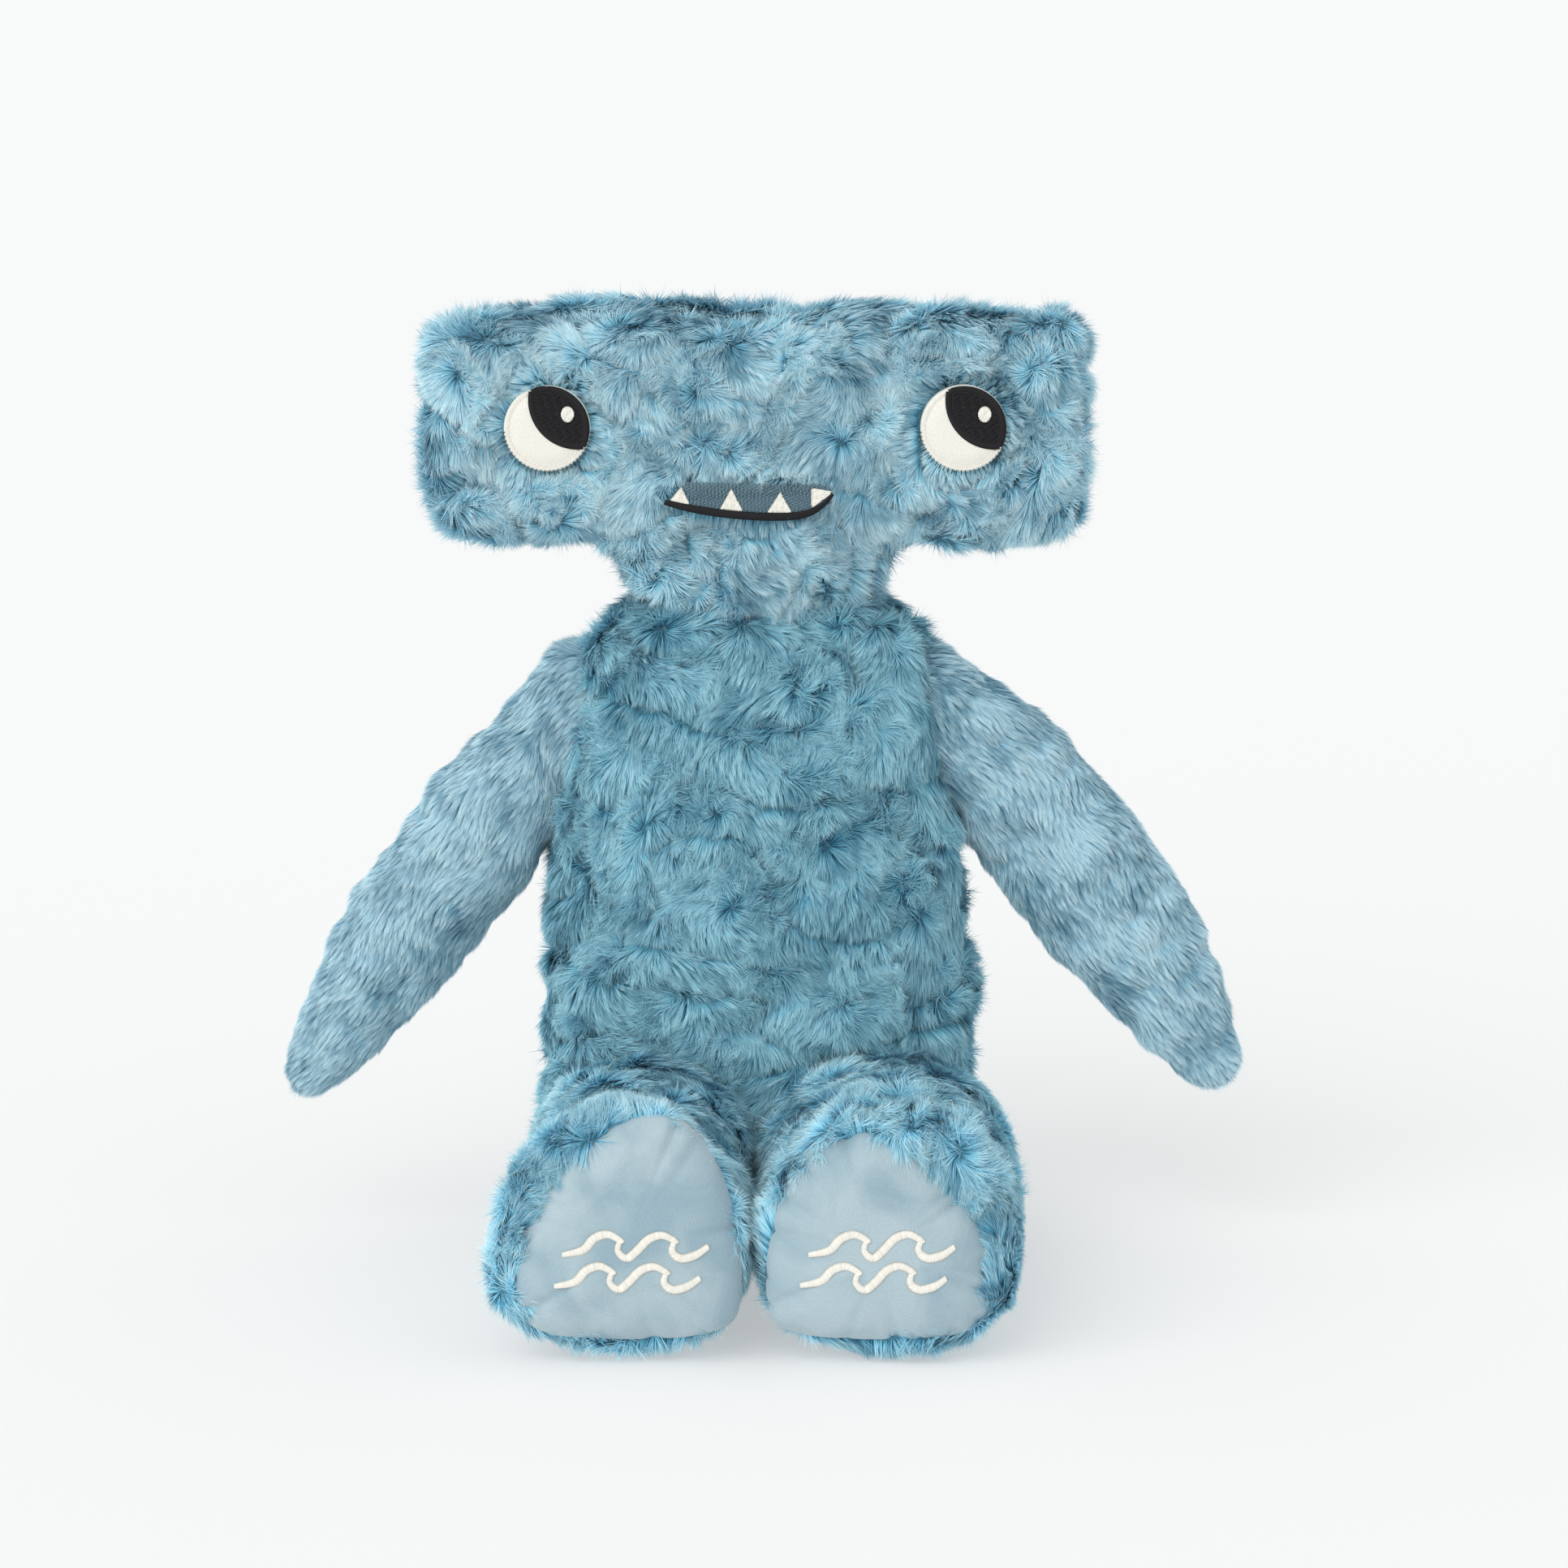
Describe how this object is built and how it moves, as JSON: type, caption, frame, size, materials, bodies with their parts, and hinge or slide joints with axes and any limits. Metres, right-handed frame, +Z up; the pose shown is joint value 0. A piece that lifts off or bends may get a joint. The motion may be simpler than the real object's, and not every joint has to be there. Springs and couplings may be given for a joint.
{
  "type": "plush hammerhead shark",
  "caption": "Seated plush hammerhead shark: sewn fur-fabric panels over fibre stuffing, soft neck, arms, legs and fin, applique face, smooth soles.",
  "frame": {"origin": "middle of the footprint on the floor that the toy sits on", "axes": "+Z up; the toy faces -Y, and +X is the toy's left"},
  "size_m": [0.3728, 0.3024, 0.3775],
  "materials": {
    "fur": "long-pile plush",
    "minky": "short-pile minky",
    "felt_cream": "felt",
    "felt_black": "satin stitch",
    "mouth_blue": "woven",
    "thread_cream": "satin stitch",
    "fibre": "loose fibre",
    "pellet_cloth": "woven cotton"
  },
  "bodies": {
    "torso": {"torso_front_panel": "fur", "torso_back_panel": "fur", "seat_panel": "fur", "torso_stuffing": "fibre", "pellet_bag": "pellet_cloth"},
    "head": {"head_front_panel": "fur", "head_gusset": "fur", "neck_gusset": "fur", "head_back_panel": "fur", "head_stuffing": "fibre", "left_eye_white": "felt_cream", "left_pupil": "felt_black", "left_glint": "thread_cream", "right_eye_white": "felt_cream", "right_pupil": "felt_black", "right_glint": "thread_cream", "mouth_patch": "mouth_blue", "lip": "felt_black", "tooth_1": "thread_cream", "tooth_2": "thread_cream", "tooth_3": "thread_cream", "tooth_4": "thread_cream"},
    "left_arm": {"left_arm_front_panel": "fur", "left_arm_back_panel": "fur", "left_arm_stuffing": "fibre"},
    "left_leg": {"left_leg_upper_panel": "fur", "left_leg_lower_panel": "fur", "left_leg_stuffing": "fibre", "left_sole": "minky", "left_sole_wave_1": "thread_cream", "left_sole_wave_2": "thread_cream"},
    "right_arm": {"right_arm_front_panel": "fur", "right_arm_back_panel": "fur", "right_arm_stuffing": "fibre"},
    "right_leg": {"right_leg_upper_panel": "fur", "right_leg_lower_panel": "fur", "right_leg_stuffing": "fibre", "right_sole": "minky", "right_sole_wave_1": "thread_cream", "right_sole_wave_2": "thread_cream"},
    "dorsal_fin": {"dorsal_fin_left_panel": "fur", "dorsal_fin_right_panel": "fur", "dorsal_fin_stuffing": "fibre"}
  },
  "joints": [
    {"name": "neck_nod", "type": "hinge", "parent": "torso", "child": "head", "pos_m": [0, 0.04815, 0.268], "axis": [1, 0, 0], "range_deg": [-18, 20], "stiffness_Nm_per_rad": 2.5},
    {"name": "left_shoulder_lift", "type": "hinge", "parent": "torso", "child": "left_arm", "pos_m": [0.066, 0.04815, 0.216], "axis": [0, -1, 0], "range_deg": [0, 60], "stiffness_Nm_per_rad": 0.5},
    {"name": "right_shoulder_lift", "type": "hinge", "parent": "torso", "child": "right_arm", "pos_m": [-0.066, 0.04815, 0.216], "axis": [0, 1, 0], "range_deg": [0, 60], "stiffness_Nm_per_rad": 0.5},
    {"name": "left_hip_fold", "type": "hinge", "parent": "torso", "child": "left_leg", "pos_m": [0.0443, -0.00685, 0.046], "axis": [1, 0, 0], "range_deg": [-10, 90], "stiffness_Nm_per_rad": 1},
    {"name": "right_hip_fold", "type": "hinge", "parent": "torso", "child": "right_leg", "pos_m": [-0.0443, -0.00685, 0.046], "axis": [1, 0, 0], "range_deg": [-10, 90], "stiffness_Nm_per_rad": 1},
    {"name": "dorsal_fin_bend", "type": "hinge", "parent": "torso", "child": "dorsal_fin", "pos_m": [0, 0.10355, 0.152], "axis": [0, -0.1179, 0.993], "range_deg": [-15, 15], "stiffness_Nm_per_rad": 0.05}
  ]
}
